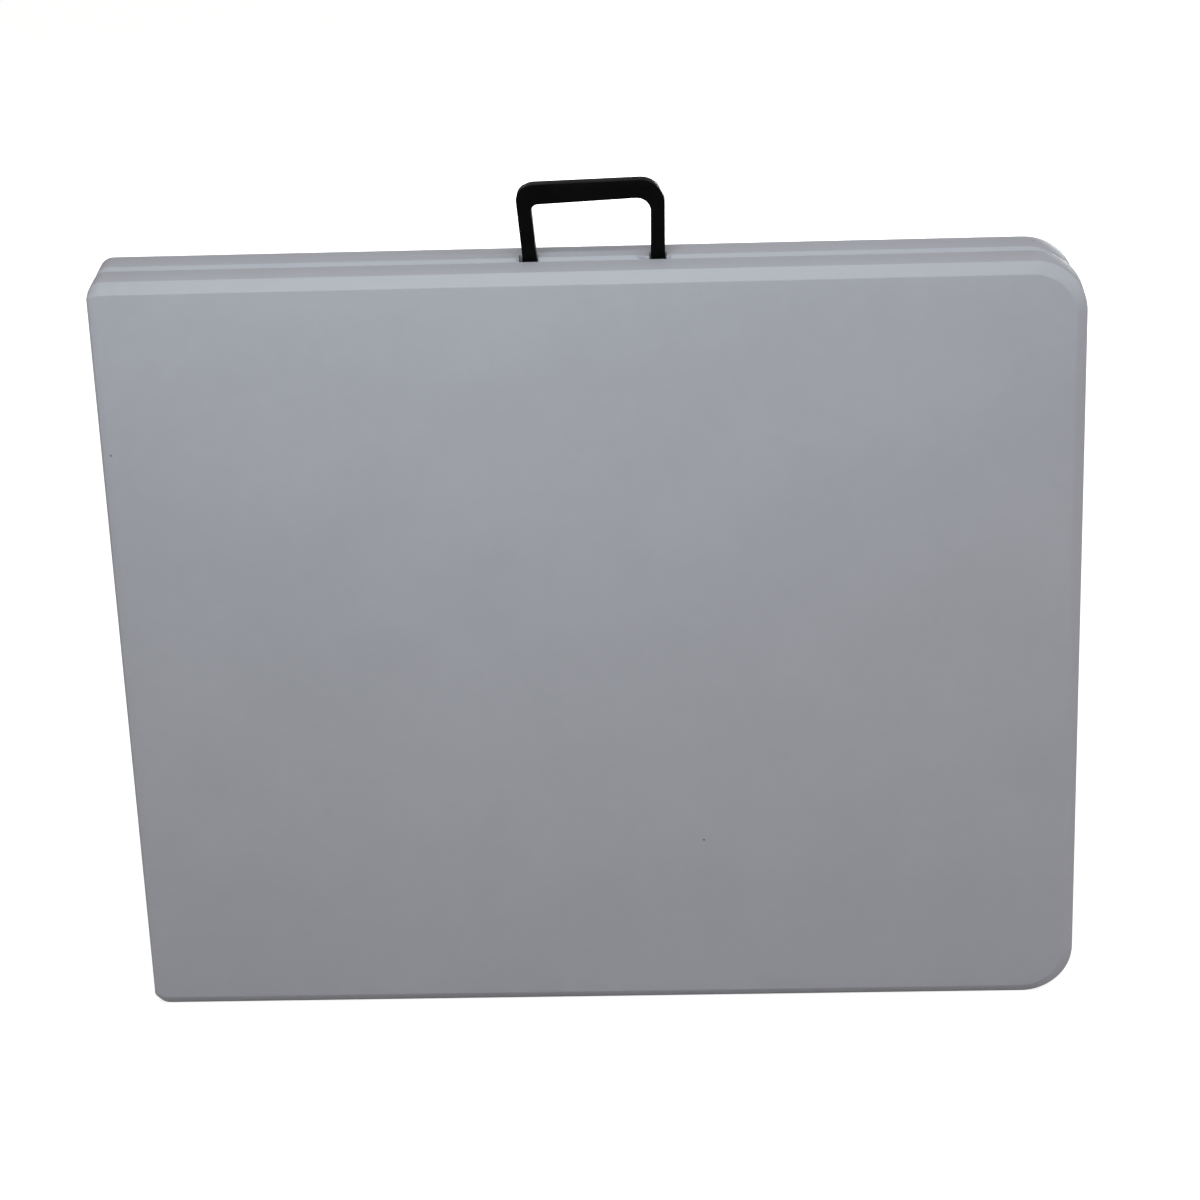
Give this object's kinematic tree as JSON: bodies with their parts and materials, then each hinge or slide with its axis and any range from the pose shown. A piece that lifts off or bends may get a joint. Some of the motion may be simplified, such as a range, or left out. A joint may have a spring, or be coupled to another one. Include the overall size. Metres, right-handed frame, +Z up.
{
  "type": "folding table",
  "caption": "Fold-in-half rectangular plastic table, shut like a case on its long edge, with steel legs stowed inside and a pull-out carry handle.",
  "frame": {"origin": "centre of the whole part's bounding box in X and Y, at the base: the middle of the long edge that the folded table stands on", "axes": "+X along the folded length, away from the fold; +Y through the two halves, from the front half to the back half; +Z up, along the table's width, towards the carry handle"},
  "size_m": [0.9194, 0.09, 0.833],
  "materials": {
    "panel_plastic": "blow-moulded polyethylene, light grey, fine pebbled texture",
    "powder_coat": "grey powder coat, fine orange peel",
    "zinc_steel": "zinc-plated sheet steel",
    "black_plastic": "black moulded plastic",
    "handle_plastic": "black moulded plastic, satin"
  },
  "bodies": {
    "back_half": {"back_top_panel": "panel_plastic", "back_leg_pivot_tube": "powder_coat", "back_leg_cross_bar": "powder_coat", "back_side_rail_lower": "powder_coat", "back_leg_lower": "powder_coat", "back_foot_cap_lower": "black_plastic", "back_leg_saddle_lower": "black_plastic", "back_leg_clip_lower": "black_plastic", "back_brace_arm_lower": "powder_coat", "back_side_rail_upper": "powder_coat", "back_leg_upper": "powder_coat", "back_foot_cap_upper": "black_plastic", "back_leg_saddle_upper": "black_plastic", "back_leg_clip_upper": "black_plastic", "back_brace_arm_upper": "powder_coat", "back_brace_bracket": "zinc_steel", "back_brace_bracket_pin": "zinc_steel", "back_brace_link": "powder_coat", "back_brace_knee_pin": "zinc_steel", "lower_hinge_back_leaf": "zinc_steel", "lower_hinge_pin": "zinc_steel", "upper_hinge_back_leaf": "zinc_steel", "upper_hinge_pin": "zinc_steel", "handle_guide": "zinc_steel", "catch_clip": "black_plastic"},
    "front_half": {"front_top_panel": "panel_plastic", "front_leg_pivot_tube": "powder_coat", "front_leg_cross_bar": "powder_coat", "front_side_rail_lower": "powder_coat", "front_leg_lower": "powder_coat", "front_foot_cap_lower": "black_plastic", "front_leg_saddle_lower": "black_plastic", "front_leg_clip_lower": "black_plastic", "front_brace_arm_lower": "powder_coat", "front_side_rail_upper": "powder_coat", "front_leg_upper": "powder_coat", "front_foot_cap_upper": "black_plastic", "front_leg_saddle_upper": "black_plastic", "front_leg_clip_upper": "black_plastic", "front_brace_arm_upper": "powder_coat", "front_brace_bracket": "zinc_steel", "front_brace_bracket_pin": "zinc_steel", "front_brace_link": "powder_coat", "front_brace_knee_pin": "zinc_steel", "lower_hinge_front_leaf": "zinc_steel", "upper_hinge_front_leaf": "zinc_steel", "catch_tongue": "black_plastic"},
    "carry_handle": {"carry_handle": "handle_plastic"},
    "back_lock_ring": {"back_brace_lock_ring": "zinc_steel"},
    "front_lock_ring": {"front_brace_lock_ring": "zinc_steel"}
  },
  "joints": [
    {"name": "table_fold", "type": "hinge", "parent": "back_half", "child": "front_half", "pos_m": [-0.45525, 0, 0.38], "axis": [0, 0, -1], "range_deg": [0, 180]},
    {"name": "handle_slide", "type": "slide", "parent": "back_half", "child": "carry_handle", "axis": [0, 0, 1], "range_m": [-0.045, 0]},
    {"name": "back_ring_slide", "type": "slide", "parent": "back_half", "child": "back_lock_ring", "axis": [1, 0, 0], "range_m": [-0.11, 0.18]},
    {"name": "front_ring_slide", "type": "slide", "parent": "front_half", "child": "front_lock_ring", "axis": [1, 0, 0], "range_m": [-0.11, 0.18]}
  ]
}
